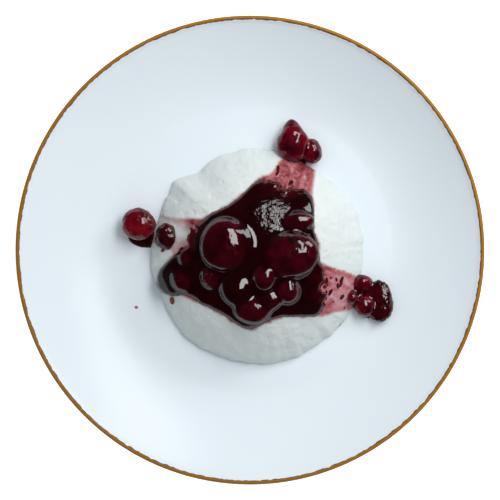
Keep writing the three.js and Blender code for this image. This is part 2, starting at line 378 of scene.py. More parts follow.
def polar_net(rings, spokes):
    """Shares of the way out and bearings of a net round a middle point, with its faces."""
    shares = [0.0]
    bearings = [0.0]
    for ring in range(1, rings + 1):
        share = math.sin(ring / rings * math.pi / 2)
        shares += [share] * spokes
        bearings += list(np.linspace(0, 360, spokes, endpoint=False))
    faces = [(0, 1 + s, 1 + (s + 1) % spokes) for s in range(spokes)]
    for ring in range(rings - 1):
        first = 1 + ring * spokes
        for s in range(spokes):
            after = (s + 1) % spokes
            faces.append((first + s, first + spokes + s, first + spokes + after, first + after))
    return np.array(shares), np.array(bearings), faces


shares, bearings, dome_faces = polar_net(DOME_RINGS, DOME_SPOKES)
turns = np.radians(bearings)
edge_wander = EDGE_WANDER * fractal(ring_of(turns), EDGE_WANDER_SIZE, 4, 17.0)
swelling = (dome_reach(bearings) - DOME_RADIUS) * shares**2
reaches = (DOME_RADIUS + swelling + edge_wander * shares**4) * shares
dome_z = FLOOR_Z + dome_height(shares)
# The foot sags outward and rests on a slightly smaller ring, so its edge throws a close, dark shadow.
OVERHANG = 1.5
OVERHANG_HEIGHT = 2.6
low_down = np.clip(1 - (dome_z - FLOOR_Z) / OVERHANG_HEIGHT, 0, 1)
reaches = reaches - OVERHANG * low_down**2
dome_x = DOME_MIDDLE[0] + reaches * np.cos(turns)
dome_y = DOME_MIDDLE[1] + reaches * np.sin(turns)
dome_points = np.column_stack([dome_x, dome_y, dome_z])
upward = (dome_z - FLOOR_Z) * RISE_SHARE + CROWN_LIFT * (1 - shares**FOOT_SQUARENESS)
out = np.column_stack([dome_x - DOME_MIDDLE[0], dome_y - DOME_MIDDLE[1], upward])
out /= np.linalg.norm(out, axis=1)[:, None]
lumps = sum(high * fractal(dome_points, size, octaves, seed) for high, size, octaves, seed in DOME_LUMPS)
pits = np.clip(fractal(dome_points, PIT_SIZE, 2, 9.0) - PIT_THRESHOLD, 0, None)
relief = (lumps - PIT_DEPTH * pits) * np.clip((1.002 - shares) * RELIEF_FADE, EDGE_RELIEF, 1)
dome_points = dome_points + out * relief[:, None]
dome_points[:, 2] = np.maximum(dome_points[:, 2], FLOOR_Z)
print("panna cotta corners:", len(dome_points))

# %% [markdown]
# ## Where the sauce has run
# The compote was spooned on the crown and ran down in three tongues: one up, one to the left and one to the
# right, each towards a group of cherries that slid off. The thick sauce ends part way, and beyond it the
# cream is only stained. Both edges are given as reaches from the dome's middle, one for each bearing where
# the edge turns, and joined by a smooth curve.

# %% The edges of the thick sauce and of the stain
THICK_RUNS = [
    (-178, 39.5), (-173, 44), (-168, 46.4), (-162, 46.8), (-156, 43.5), (-152, 37.4),
    (-140, 33), (-125, 30.2), (-111, 30.9), (-102, 32.4), (-94, 32.4), (-86, 30.8), (-79, 29.2),
    (-71, 28.8), (-54, 33), (-43, 38),
    (-36, 37.5), (-30, 34.2), (-20, 31.5), (-12, 30), (-5, 28), (8, 27.6), (24, 27.8), (40, 33), (48, 36.6),
    (56, 36.3), (63, 33), (71, 32.4), (80, 34.8), (88, 34.2), (97, 31), (108, 27.4),
    (122, 26.4), (140, 28.6), (152, 30.4), (162, 31.6), (173, 33.6),
]
STAIN_RUNS = [
    (-178, 40), (-165, 47.5), (-152, 38.5), (-125, 31), (-94, 33), (-71, 29.5), (-54, 33.6), (-42, 40.5),
    (-34, 45), (-29, 50), (-13, 50), (-10, 42), (-8, 34), (-4, 28.6), (24, 28.2), (40, 33.6), (50, 39.6),
    (58, 50), (72, 50), (77, 44), (80, 39.6), (88, 35.4), (108, 28.2), (122, 27), (140, 29), (145, 30.2),
    (150, 34.4), (154, 39.4), (158, 50), (172, 50), (174, 42), (176, 39),
]


def smooth_reach(runs, bearing):
    """The reach at any bearing, on a smooth closed curve through the runs."""
    known = np.array([at for at, _ in runs], dtype=float)
    reach = np.array([value for _, value in runs], dtype=float)
    known = np.concatenate([known[-2:] - 360, known, known[:2] + 360])
    reach = np.concatenate([reach[-2:], reach, reach[:2]])
    slope = np.gradient(reach, known)
    b = (np.asarray(bearing, dtype=float) + 180) % 360 - 180
    k = np.clip(np.searchsorted(known, b) - 1, 0, len(known) - 2)
    width = known[k + 1] - known[k]
    t = np.clip((b - known[k]) / width, 0, 1)
    rise = reach[k + 1] - reach[k]
    # A slope steeper than three times the straight rise would overshoot, so it is held to that.
    limit = 3 * np.abs(rise) / width
    start = np.clip(slope[k], -limit, limit) * width
    end = np.clip(slope[k + 1], -limit, limit) * width
    return (
        reach[k] * (2 * t**3 - 3 * t**2 + 1)
        + start * (t**3 - 2 * t**2 + t)
        + reach[k + 1] * (3 * t**2 - 2 * t**3)
        + end * (t**3 - t**2)
    )


EDGE_STEPS = 720
EDGE_BATCH = 90
RAGGED_SIZE = 5


def edge_distance(runs, x, y, ragged=0.0, seed=0.0):
    """How far inside an edge each place lies, in millimetres along the plate; less than 0 is outside."""
    turn = np.linspace(-180, 180, EDGE_STEPS + 1)[:-1]
    reach = smooth_reach(runs, turn)
    if ragged:
        reach = reach + ragged * fractal(ring_of(np.radians(turn)), RAGGED_SIZE, 4, seed)
    outward = np.column_stack([np.cos(np.radians(turn)), np.sin(np.radians(turn))])
    edge = DOME_MIDDLE + outward * reach[:, None]
    places = np.column_stack([np.ravel(x), np.ravel(y)])
    nearest = np.full(len(places), 1e9)
    for start in range(0, len(edge), EDGE_BATCH):
        gap = places[:, None, :] - edge[None, start : start + EDGE_BATCH, :]
        nearest = np.minimum(nearest, np.sqrt((gap**2).sum(axis=2)).min(axis=1))
    across, bearing = polar(places[:, 0], places[:, 1])
    inside = across < np.interp(bearing, turn, reach, period=360)
    return np.where(inside, nearest, -nearest).reshape(np.shape(x))


# %% [markdown]
# ## The set cream's finish
# Cream lets light in a few millimetres before it comes back out, so it takes a little subsurface
# scattering. Its skin is wet but not polished. The stain is real colour in that skin: dark red where the
# syrup stands, mauve pink where it was only smeared thin over the white.


# %% Set cream, stained by syrup
def set_cream():
    """Cream set with gelatine: matt white with a damp skin, stained where the syrup touched it."""
    material, tree, place = new_material("set_cream")
    grain = add(tree, "ShaderNodeTexNoise", {"Vector": place, "Scale": per_mm(9), "Detail": 4.0})
    cream = add(tree, "ShaderNodeMix", {"Factor": grain, "A": "#D0D7D6", "B": "#DBE1DF"}, data_type="RGBA")
    stain = add(tree, "ShaderNodeAttribute", attribute_name="stain").outputs["Fac"]
    streak = add(tree, "ShaderNodeAttribute", attribute_name="streak").outputs["Fac"]
    tones = add(tree, "ShaderNodeValToRGB", {"Fac": streak})
    ramp = tones.color_ramp.elements
    ramp[0].position, ramp[0].color = 0.0, linear("#CBA6AE")
    ramp[1].position, ramp[1].color = 1.0, linear("#34040A")
    for position, tone in ((0.34, "#B5747C"), (0.56, "#93444A"), (0.76, "#5E141A")):
        ramp.new(position).color = linear(tone)
    # Along its edge the smear is thin and turns from mauve to brick pink.
    rim = add(tree, "ShaderNodeAttribute", attribute_name="stain_rim").outputs["Fac"]
    smear = add(tree, "ShaderNodeMix", {"Factor": rim, "A": tones, "B": "#A8504A"}, data_type="RGBA")
    skin = add(tree, "ShaderNodeMix", {"Factor": stain, "A": cream, "B": smear}, data_type="RGBA")
    fine = add(tree, "ShaderNodeTexNoise", {"Vector": place, "Scale": per_mm(1.6), "Detail": 3.0})
    bump = add(tree, "ShaderNodeBump", {"Height": fine, "Strength": 0.25, "Distance": 0.0003})
    damp = add(tree, "ShaderNodeMapRange", {"Value": grain, "To Min": 0.36, "To Max": 0.5})
    shader = add(
        tree,
        "ShaderNodeBsdfPrincipled",
        {
            "Base Color": skin,
            "Roughness": damp,
            "IOR": 1.4,
            "Subsurface Weight": 0.15,
            "Subsurface Radius": (1.0, 0.85, 0.7),
            "Subsurface Scale": 0.003,
            "Normal": bump,
        },
    )
    add(tree, "ShaderNodeOutputMaterial", {"Surface": shader})
    return material


cream_dome = new_piece("cream_dome", dome_points, dome_faces, set_cream(), "cream", ["panna_cotta"])
stain_depth = edge_distance(STAIN_RUNS, dome_points[:, 0], dome_points[:, 1], ragged=0.9, seed=4.0)
dome_across, dome_bearing = polar(dome_points[:, 0], dome_points[:, 1])
# Syrup ran outward, so its streaks are long in that way: width and length in millimetres.
STREAK_WIDTH = 2.4
STREAK_LENGTH = 4.5
RUN_REACH = 40
# The tone that streaks swing round, and how far the long and the fine ones swing.
STREAK_TONE = 0.4
LONG_SWING = 0.26
FINE_SWING = 0.14
across_run = np.radians(dome_bearing) * RUN_REACH / STREAK_WIDTH
along_run = np.column_stack([across_run, dome_across / STREAK_LENGTH, 0 * dome_across])
streaks = STREAK_TONE + LONG_SWING * fractal(along_run, 1.0, 5, 11.0)
streaks = streaks + FINE_SWING * fractal(dome_points, 1.4, 3, 27.0)
# The left run was only smeared: grey pink, and nearly white in its middle.
LEFT_FADE = 0.46
MIDDLE_FADE = 0.48
faint = 1 - band(dome_bearing, 165, 13) * (LEFT_FADE + MIDDLE_FADE * band(dome_bearing, 163, 5.5, 2))
# Close to the thick sauce every run is soaked dark.
SOAK_START = 33
SOAK_LENGTH = 4
SOAK_STRENGTH = 0.3
SOAK_TONE = 0.25
soaked = np.clip(1 - (dome_across - SOAK_START) / SOAK_LENGTH, 0, 1)
# The stain's edge is soft over this width, from this strength up.
STAIN_SOFTNESS = 1.4
EDGE_STRENGTH = 0.3
strength = np.clip(stain_depth / STAIN_SOFTNESS + EDGE_STRENGTH, 0, 1)
paint(cream_dome, "stain", strength * np.clip(faint + SOAK_STRENGTH * soaked, 0, 1))
# The right run's streaks are paler and the upper one's a little darker.
streaks = streaks - 0.16 * band(dome_bearing, -22, 15) + 0.12 * band(dome_bearing, 67, 15)
paint(cream_dome, "streak", np.clip(streaks + SOAK_TONE * soaked, 0, 1))
RIM_STRENGTH = 0.75
RIM_WIDTH = 3.5
paint(cream_dome, "stain_rim", RIM_STRENGTH * np.clip(1 - stain_depth / RIM_WIDTH, 0, 1) * (1 - soaked))
print("stained corners:", int((stain_depth > 0).sum()))

# %% [markdown]
# ## The fruit
# Cherries and small berries simmered in their syrup: soft, partly burst, some collapsed. Each starts as a
# fine round ball. Its skin is pushed out and in at a few places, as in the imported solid, and then given low
# lumps and small puckers of its own, so that no two reflections are alike.

# %% The fruit's forms
# For each node: width, depth, height, turn; then pushes (bearing, elevation, half width, share).
FRUIT = {
    "cherry_left": ((21, 22.5, 11), 0, [(215, 15, 40, 0.10), (-35, 10, 40, 0.06), (60, 30, 40, -0.05)]),
    "cherry_right": ((24, 19.5, 11), 8, [(190, 10, 40, 0.06), (-40, 10, 40, 0.05), (40, 30, 45, 0.06)]),
    "cherry_upper": ((14, 8.4, 7), 8, [(-90, 40, 40, -0.15), (0, 0, 40, 0.06)]),
    "berry_centre": ((10, 11.6, 8), -10, [(60, 30, 40, 0.06)]),
    "berry_right": ((9.6, 11.2, 7.4), 10, [(90, 30, 35, 0.08), (-60, 10, 40, -0.05)]),
    "berry_low": ((9, 8.2, 5.6), 0, [(-90, 0, 40, 0.06)]),
    "berry_bottom": ((15, 12, 8), -8, [(200, 10, 40, 0.1), (-80, 0, 40, 0.06)]),
    "cherry_dark": ((12, 14, 7), 20, [(120, 60, 40, -0.08)]),
    "berry_torn": ((9.4, 9.4, 4.8), -20, [(160, 30, 35, -0.14), (20, 40, 30, 0.1)]),
    "berry_left_low": ((9.6, 10.8, 6), 0, [(60, 20, 35, 0.08), (200, 10, 45, -0.08)]),
    "berry_left_high": ((6, 7.4, 4.4), 20, [(90, 20, 40, 0.05)]),
    "berry_west": ((15.4, 14.4, 11), 15, [(-20, 20, 35, 0.08), (110, 10, 35, 0.06), (220, -10, 45, -0.05)]),
    "berry_west_small": ((9.8, 12.4, 7), 0, [(200, 30, 35, -0.12), (-110, 20, 35, -0.12)]),
    "berry_north": (
        (14.4, 18, 11), 6, [(98, 0, 26, 0.12), (215, 0, 35, 0.14), (148, 5, 24, -0.1), (40, 5, 28, -0.14)]
    ),
    "berry_north_small": ((9.4, 11.2, 8.4), 12, [(-50, 0, 40, 0.06)]),
    "berry_east_high": ((9.4, 7.4, 6.6), -18, [(0, 0, 35, 0.1)]),
    "berry_east_low": ((9, 9.8, 7.6), 0, [(120, 30, 40, 0.06)]),
    "berry_east_flat": ((13, 18.4, 8), 6, [(185, 58, 36, -0.7), (75, 5, 28, 0.08), (-25, 15, 30, 0.06)]),
    "berry_east_tiny": ((4.6, 6, 4.6), 0, [(0, 0, 40, 0.05)]),
}
# Each fruit's middle on the plate. Where it lies on the dome, it sinks a little into the cream's hollow.
FRUIT_MIDDLE = {
    "cherry_left": (-11.1, 2.7),
    "cherry_right": (18.2, -2.3),
    "cherry_upper": (21.2, 12.4),
    "berry_centre": (6.4, -12.6),
    "berry_right": (17, -18.3),
    "berry_low": (8.8, -22.4),
    "berry_bottom": (1.2, -26.4),
    "cherry_dark": (-6.2, -17.4),
    "berry_torn": (-17, -12.2),
    "berry_left_low": (-29.8, -12.8),
    "berry_left_high": (-28.2, -3.8),
    "berry_west": (-50.6, 11.6),
    "berry_west_small": (-37.8, 6),
    "berry_north": (19.6, 49),
    "berry_north_small": (27.8, 44.8),
    "berry_east_high": (50.8, -14.8),
    "berry_east_low": (52, -25.4),
    "berry_east_flat": (58.2, -23.4),
    "berry_east_tiny": (46.2, -21.4),
}

# A fruit whose middle lies within this reach of the dome's middle is on the crown.
CROWN_REACH = 38


def unit(bearing, elevation):
    """A direction from a bearing and an elevation in degrees."""
    b, e = math.radians(bearing), math.radians(elevation)
    return np.array([math.cos(e) * math.cos(b), math.cos(e) * math.sin(b), math.sin(e)])


class Fruit:
    """One fruit's form: its middle, half sizes, turn and pushes."""

    def __init__(self, node):
        self.node = node
        size, self.turn, pushes = FRUIT[node]
        self.half = np.array(size) / 2
        low, high = box_mm(node)
        middle = (low + high) / 2
        middle[:2] = FRUIT_MIDDLE[node]
        middle[2] = high[2] - self.half[2]
        self.middle = middle
        self.on_crown = polar(*middle[:2])[0] < CROWN_REACH
        self.pushes = [(unit(b - self.turn, e), w, share) for b, e, w, share in pushes]
        angle = math.radians(self.turn)
        c, s = math.cos(angle), math.sin(angle)
        self.axes = np.array([[c, -s, 0], [s, c, 0], [0, 0, 1]])

    def swell(self, directions):
        """How far the skin stands out in each direction, as a share of the plain form."""
        total = np.ones(len(directions))
        for toward, half_width, share in self.pushes:
            away = np.degrees(np.arccos(np.clip(directions @ toward, -1, 1))) / half_width
            total += share * np.exp(-(away**2))
        return total

    def surface(self, directions):
        """Places on the skin, on the plate, for directions in the fruit's own frame."""
        own = directions * self.swell(directions)[:, None] * self.half
        return own @ self.axes.T + self.middle

    def distance(self, places):
        """About how far each place lies outside the skin."""
        own = (places - self.middle) @ self.axes
        scaled = own / self.half
        k = np.linalg.norm(scaled, axis=1) + 1e-6
        return np.linalg.norm(own, axis=1) * (1 - self.swell(scaled / k[:, None]) / k)


fruit = [Fruit(node) for node in FRUIT]
print("fruit to make:", len(fruit))

# %% [markdown]
# The skin is deep garnet and reads nearly black where little light gets in. Syrup lies over all of it, so it
# has a clear coat with almost no roughness. Light that enters the flesh comes back out warm and red.


# %% Syrup-coated cherry skin
def cherry_skin(name, dark_tone, light_tone):
    """Simmered cherry skin under syrup: garnet, mottled darker, with a wet clear coat."""
    material, tree, place = new_material(name)
    mottle = add(tree, "ShaderNodeTexNoise", {"Vector": place, "Scale": per_mm(6), "Detail": 3.0})
    spread = add(tree, "ShaderNodeMapRange", {"Value": mottle, "From Min": 0.35, "From Max": 0.65})
    flesh = add(tree, "ShaderNodeMix", {"Factor": spread, "A": dark_tone, "B": light_tone}, data_type="RGBA")
    pucker = add(tree, "ShaderNodeTexNoise", {"Vector": place, "Scale": per_mm(2.4), "Detail": 3.0})
    bump = add(tree, "ShaderNodeBump", {"Height": pucker, "Strength": 0.12, "Distance": 0.0004})
    shader = add(
        tree,
        "ShaderNodeBsdfPrincipled",
        {
            "Base Color": flesh,
            "Roughness": 0.28,
            "IOR": 1.4,
            "Specular IOR Level": 0.1,
            "Subsurface Weight": 0.15,
            "Subsurface Radius": (1.0, 0.12, 0.12),
            "Subsurface Scale": 0.003,
            "Coat Weight": 1.0,
            "Coat Roughness": 0.02,
            "Coat IOR": 1.48,
            "Normal": bump,
        },
    )
    add(tree, "ShaderNodeOutputMaterial", {"Surface": shader})
    return material


# %% Model each fruit
def fine_ball(subdivisions):
    """Directions and faces of a finely divided ball."""
    made = bmesh.new()
    bmesh.ops.create_icosphere(made, subdivisions=subdivisions, radius=1)
    made.verts.ensure_lookup_table()
    directions = np.array([v.co[:] for v in made.verts])
    faces = [[v.index for v in f.verts] for f in made.faces]
    made.free()
    return directions / np.linalg.norm(directions, axis=1)[:, None], faces


BIG_FRUIT = 12
# Three copies of the skin differ only in painted light: the first is painted shade, the second painted lit,
# the third painted most lit.
shaded_copy_skin = cherry_skin("painted_shade_cherry_skin", "#1A0206", "#440009")
lit_copy_skin = cherry_skin("painted_lit_cherry_skin", "#30000A", "#6A0014")
brightest_lit_skin = cherry_skin("brightest_painted_lit_cherry_skin", "#46000A", "#760818")
# The east cup and the small west fruit take the painted-shade copy, which darkens the cup's hollow as shade
# would; the west berry takes the most lit one.
OWN_SKIN = {"berry_west": brightest_lit_skin, "berry_west_small": shaded_copy_skin, "berry_east_flat": shaded_copy_skin}
# Some have shrivelled: depth of their wrinkles in millimetres. The freshest one has only a trace.
WRINKLES = {"berry_west_small": 0.4, "berry_torn": 0.5, "berry_east_flat": 0.3, "berry_west": 0.16}
WRINKLE_SIZE = 2.6
# Height and size of every fruit's low lumps, and of the small puckers on them.
LUMP_HEIGHT, LUMP_SIZE = 0.36, 5
PUCKER_HEIGHT, PUCKER_SIZE = 0.03, 1.8
for count, one in enumerate(fruit):
    directions, faces = fine_ball(6 if one.half[0] * 2 > BIG_FRUIT else 5)
    places = one.surface(directions)
    away = places - one.middle
    away /= np.linalg.norm(away, axis=1)[:, None]
    lumps = LUMP_HEIGHT * fractal(places, LUMP_SIZE, 2, 20.0 + count)
    lumps += PUCKER_HEIGHT * fractal(places, PUCKER_SIZE, 2, 50.0 + count)
    lumps += WRINKLES.get(one.node, 0) * fractal(places, WRINKLE_SIZE, 3, 80.0 + count)
    places = places + away * lumps[:, None]
    # Fruit on the crown takes the painted-shade copy, and loose fruit the painted-lit one.
    skin = OWN_SKIN.get(one.node, shaded_copy_skin if one.on_crown else lit_copy_skin)
    new_piece(one.node + "_fruit", places, faces, skin, "fruit", [one.node])
print("fruit made")

# %% [markdown]
# ## The compote
# Thick syrup clings. It lies over the cream as a layer with a rounded edge, fills the hollows between the
# cherries, and creeps up each one in a smooth fillet, which is what catches the lamp as a bright curved
# line. A layer and a ball can be joined in that way as fields of distance, by a blend that is rounded
# where the two come near each other. The surface is then drawn where the blended field is zero.

# %% Blend fields and draw a surface where they are zero
def round_join(a, b, radius):
    """The nearer of two distances, rounded by `radius` where they are alike."""
    share = np.clip(0.5 + 0.5 * (b - a) / radius, 0, 1)
    return b + (a - b) * share - radius * share * (1 - share)


def back_from(edges, axes, steps, cells):
    """The cells so many steps back from each crossed edge, and whether each is on the grid."""
    cell = edges.copy()
    for axis, step in zip(axes, steps):
        cell[:, axis] -= step
    return cell, ((cell >= 0) & (cell < cells)).all(axis=1)


def net_surface(field, low, step):
    """Corners and faces of the surface where a field on a regular grid is zero."""
    cells = np.array(field.shape) - 1
    total = np.zeros((*cells, 3), dtype=np.float32)
    hits = np.zeros(cells, dtype=np.float32)
    crossings = []
    for axis in range(3):
        near, far = [slice(None)] * 3, [slice(None)] * 3
        near[axis], far[axis] = slice(0, -1), slice(1, None)
        before, after = field[tuple(near)], field[tuple(far)]
        edges = np.column_stack(np.nonzero((before < 0) != (after < 0)))
        a, b = before[tuple(edges.T)], after[tuple(edges.T)]
        spot = edges.astype(np.float32)
        spot[:, axis] += a / (a - b)
        crossings.append((edges, a < b))
        others = [n for n in range(3) if n != axis]
        for steps in ((0, 0), (0, 1), (1, 0), (1, 1)):
            cell, fits = back_from(edges, others, steps, cells)
            np.add.at(total, tuple(cell[fits].T), spot[fits])
            np.add.at(hits, tuple(cell[fits].T), 1)
    number = np.full(cells, -1, dtype=np.int64)
    used = hits > 0
    number[used] = np.arange(used.sum())
    corners = total[used] / hits[used][:, None] * step + np.array(low)
    faces = []
    for (edges, rising), plane in zip(crossings, ((1, 2), (2, 0), (0, 1))):
        ring = [back_from(edges, plane, steps, cells) for steps in ((0, 0), (1, 0), (1, 1), (0, 1))]
        fits = np.all([on_grid for _, on_grid in ring], axis=0)
        quads = np.column_stack([number[tuple(cell[fits].T)] for cell, _ in ring])
        quads[~rising[fits]] = quads[~rising[fits]][:, ::-1]
        faces += quads.tolist()
    return corners, faces


def relax(corners, faces, rounds, share=0.5):
    """Draws each corner towards the middle of its neighbours, a few times."""
    quads = np.array(faces)
    a = np.concatenate([quads[:, n] for n in range(4)])
    b = np.concatenate([quads[:, (n + 1) % 4] for n in range(4)])
    for _ in range(rounds):
        total = np.zeros_like(corners)
        hits = np.zeros(len(corners))
        np.add.at(total, a, corners[b])
        np.add.at(total, b, corners[a])
        np.add.at(hits, a, 1)
        np.add.at(hits, b, 1)
        corners = corners + share * (total / hits[:, None] - corners)
    return corners


# %% A box of distances to the sauce
GRID = 0.5
SINK = 0.8


class SauceField:
    """Distances to a sauce that lies on a carrier, on a regular grid, in millimetres."""

    def __init__(self, low, high, carrier):
        self.low = np.array(low, dtype=float)
        spans = [np.arange(a, b, GRID) for a, b in zip(low, high)]
        self.x, self.y = np.meshgrid(spans[0], spans[1], indexing="ij")
        self.carrier = carrier
        ground = carrier(self.x, self.y)
        slope_x, slope_y = np.gradient(ground, GRID)
        lean = 1 / np.sqrt(1 + slope_x**2 + slope_y**2)
        self.above = (spans[2] - ground[:, :, None]) * lean[:, :, None]
        grid_lines = np.broadcast_arrays(self.x[:, :, None], self.y[:, :, None], spans[2])
        self.places = np.stack(grid_lines, axis=-1)
        self.field = self.above + SINK

    def lay(self, depth):
        """Spreads a layer whose depth is given at each place of the grid's floor."""
        self.field = np.maximum(self.above - depth[:, :, None], -(self.above + SINK))

    def blend_in(self, middle, reach, distance_to, radius):
        """Joins a rounded body into the sauce, near its middle only."""
        first = np.clip(((middle - reach - self.low) / GRID).astype(int), 0, None)
        last = ((middle + reach - self.low) / GRID).astype(int) + 1
        last = np.clip(last, 0, np.array(self.field.shape))
        if (last <= first).any():
            return
        part = tuple(slice(a, b) for a, b in zip(first, last))
        near = self.places[part]
        gap = distance_to(near.reshape(-1, 3)).reshape(near.shape[:3])
        joined = round_join(self.field[part], gap, radius)
        self.field[part] = np.maximum(joined, -(self.above[part] + SINK))

    def pool(self, x, y, half_width, half_depth, height, radius):
        """Adds a low mound of sauce on the carrier."""
        middle = np.array([x, y, float(self.carrier(x, y))])
        half = np.array([half_width, half_depth, height])

        def distance_to(near):
            scaled = (near - middle) / half
            k = np.linalg.norm(scaled, axis=1) + 1e-6
            return np.linalg.norm(near - middle, axis=1) * (1 - 1 / k)

        self.blend_in(middle, half.max() + 2 * radius, distance_to, radius)

    def coat(self, one, glaze, radius):
        """Brings the sauce up round one fruit in a fillet."""
        reach = one.half.max() * 1.3 + 2 * radius
        self.blend_in(one.middle, reach, lambda near: one.distance(near) + glaze, radius)

    def surface(self):
        """The sauce's corners and faces, and its depth over the carrier at each corner."""
        corners, faces = net_surface(self.field, self.low, GRID)
        corners = relax(corners, faces, 3)
        depth = corners[:, 2] - self.carrier(corners[:, 0], corners[:, 1])
        return corners, faces, depth


# %% Lay the compote over the dome
def cream_carrier(x, y):
    """Height of the plain dome's skin above the table."""
    return FLOOR_Z + dome_top(x, y)


main_sauce = SauceField((-48, -42, 6), (46, 38, 50), cream_carrier)
inward = edge_distance(THICK_RUNS, main_sauce.x, main_sauce.y, ragged=0.35, seed=2.0)
EDGE_ROUND = 2.0
EDGE_LIMIT = 0.9
THIN = 1.2
FALL_SLOPE = 0.8
# Where a run goes on as a stain the thick sauce feathers out instead: bearing and half width of each.
FEATHERS = ((-24, 14), (68, 18), (162, 15))
FEATHER_LENGTH = 8.0
FEATHER_BREAKS = 0.5
FEATHER_WANDER = 2.6
FEATHER_LIMIT = 4


def feathering(x, y):
    """How much the sauce's edge is feathered in a place's bearing: 0 is blunt, 1 is thin and broken."""
    bearing = polar(x, y)[1]
    return sum(band(bearing, at, half_width) for at, half_width in FEATHERS)


def grid_noise(size_mm, octaves, seed, stretch=1.0):
    """Soft noise over the sauce's grid, stretched along X."""
    x, y = main_sauce.x.ravel(), main_sauce.y.ravel()
    places = np.column_stack([x / stretch, y, 0 * x])
    return fractal(places, size_mm, octaves, seed).reshape(main_sauce.x.shape)


feather = feathering(main_sauce.x, main_sauce.y)
inward = inward + FEATHER_WANDER * grid_noise(3.6, 4, 61.0) * feather
blunt = np.sqrt(np.clip(1 - (1 - np.clip(inward / EDGE_ROUND, 0, 1)) ** 2, 0, None))
thinning = np.clip(inward / FEATHER_LENGTH, 0, 1)
rounded = (1 - feather) * blunt + feather * thinning
# Above the cherries the fruit has cooked down to pulp, which lies in low crumbs under the syrup.
PULP_MIDDLE = (8.5, 16.5)
PULP_REACH = (10, 8)
PULP_CORE = 1.3
PULP_HEIGHT = 0.3
PULP_STRETCH = 1.6
PULP_INSET = 3


def pulp_patch(x, y):
    """How pulpy the sauce is at a place: 1 in the patch, 0 away from it."""
    outward = ((x - PULP_MIDDLE[0]) / PULP_REACH[0]) ** 2 + ((y - PULP_MIDDLE[1]) / PULP_REACH[1]) ** 2
    return np.clip(PULP_CORE - outward, 0, 1)


pulpy = pulp_patch(main_sauce.x, main_sauce.y) * np.clip(inward / PULP_INSET, 0, 1)
pulp = PULP_HEIGHT * grid_noise(3.0, 2, 31.0, PULP_STRETCH) * pulpy
breaks = FEATHER_BREAKS * grid_noise(4.0, 3, 37.0) * feather * (1 - thinning)
MOUND_SQUARENESS = 2.6


def mound(field, x, y, half_width, half_depth, level):
    """Depth of a flat-topped mound with a short rounded edge."""
    outward = (((field.x - x) / half_width) ** 2 + ((field.y - y) / half_depth) ** 2) ** MOUND_SQUARENESS
    return level * np.sqrt(np.clip(1 - outward, 0, 1))


def heap(depth, other):
    """The deeper of two depths, rounded where they are alike."""
    return -round_join(-depth, -other, MOUND_ROUND)


on_dome = [one for one in fruit if one.on_crown]
MOUND_SPREAD = 1.8
MOUND_ROUND = 0.9
# How far up a fruit's upper half the sauce stands.
SAUCE_RISE = 0.02
# Sauce stands deeper in four places: x, y, half width, half depth and depth. The rest surround the fruit.
mounds = [
    (-37.5, -12.5, 7, 10, 3.4),
    (-33, -6, 6.5, 6.5, 2.4),
    (-11, 3.4, 14.6, 13.4, 1.7),
    (6, -14, 17, 13, 1.5),
]
for one in on_dome:
    x, y, z = one.middle
    wide, deep, tall = one.half
    level = z - float(cream_carrier(x, y)) + SAUCE_RISE * tall
    mounds.append((x, y, wide + MOUND_SPREAD, deep + MOUND_SPREAD, level))
depth_of_sauce = np.where(inward > 0, THIN * rounded + pulp + breaks, inward * FALL_SLOPE)
for shape in mounds:
    depth_of_sauce = heap(depth_of_sauce, mound(main_sauce, *shape))
# East of the left cherry the syrup sinks away in one hollow curve, which mirrors the lamp as a crescent.
HOLLOW_START = 10.0
HOLLOW_LENGTH = 6.0
HOLLOW_DROP = 1.5
HOLLOW_BEARING = 10
HOLLOW_HALF_WIDTH = 62
from_cherry, cherry_bearing = polar(main_sauce.x, main_sauce.y, FRUIT_MIDDLE["cherry_left"])
hollow_share = np.clip((from_cherry - HOLLOW_START) / HOLLOW_LENGTH, 0, 1)
hollow_side = band(cherry_bearing, HOLLOW_BEARING, HOLLOW_HALF_WIDTH)
hollow_depth = (THIN + HOLLOW_DROP * (1 - hollow_share) ** 2) * hollow_side
depth_of_sauce = heap(depth_of_sauce, hollow_depth)
edge_limit = np.clip(inward / (EDGE_LIMIT + FEATHER_LIMIT * feather), 0, 1)
limited = depth_of_sauce * np.sqrt(edge_limit * (2 - edge_limit))
depth_of_sauce = np.where(inward > 0, limited, inward * FALL_SLOPE)
main_sauce.lay(depth_of_sauce)
# On the crown the syrup runs over the fruit as a film, and over the darkest cherry as a thick coat.
FILM = 0.12
FILLET = 1.2
FILLET_GROWTH = 0.16
COVERED = {"cherry_dark": 0.7}
for one in on_dome:
    main_sauce.coat(one, -COVERED.get(one.node, FILM), FILLET + FILLET_GROWTH * one.half.max())
sauce_corners, sauce_faces, sauce_depth = main_sauce.surface()
print("compote faces:", len(sauce_faces))


# %% [markdown]
# The cherries that slid off carried syrup with them. It stands between them and the plate as a small puddle,
# and draws each group together. It is made in the same way, with the plate and the dome's foot as carrier.


# %% Syrup round the loose cherries
def plate_carrier(x, y):
    """Height of whatever lies uppermost: the plate's flat middle or the dome."""
    return FLOOR_Z + np.maximum(dome_top(x, y), 0)


# For each group: its fruit, then its puddles as x, y, half width, half depth and height.
GROUPS = {
    "west": (["berry_west", "berry_west_small"], [(-47, 6.4, 8.5, 5.4, 1.5), (-39.5, 4.2, 3.6, 3.4, 1.6)]),
    "north": (["berry_north", "berry_north_small"], [(22, 42.6, 6.4, 3.6, 2.2), (24.6, 45.6, 4.6, 5.4, 7)]),
    "east": (
        ["berry_east_high", "berry_east_low", "berry_east_flat", "berry_east_tiny"],
        [(54, -23, 7.5, 8, 1.6), (48, -19, 3, 4.5, 1.6)],
    ),
}
group_surfaces = {}
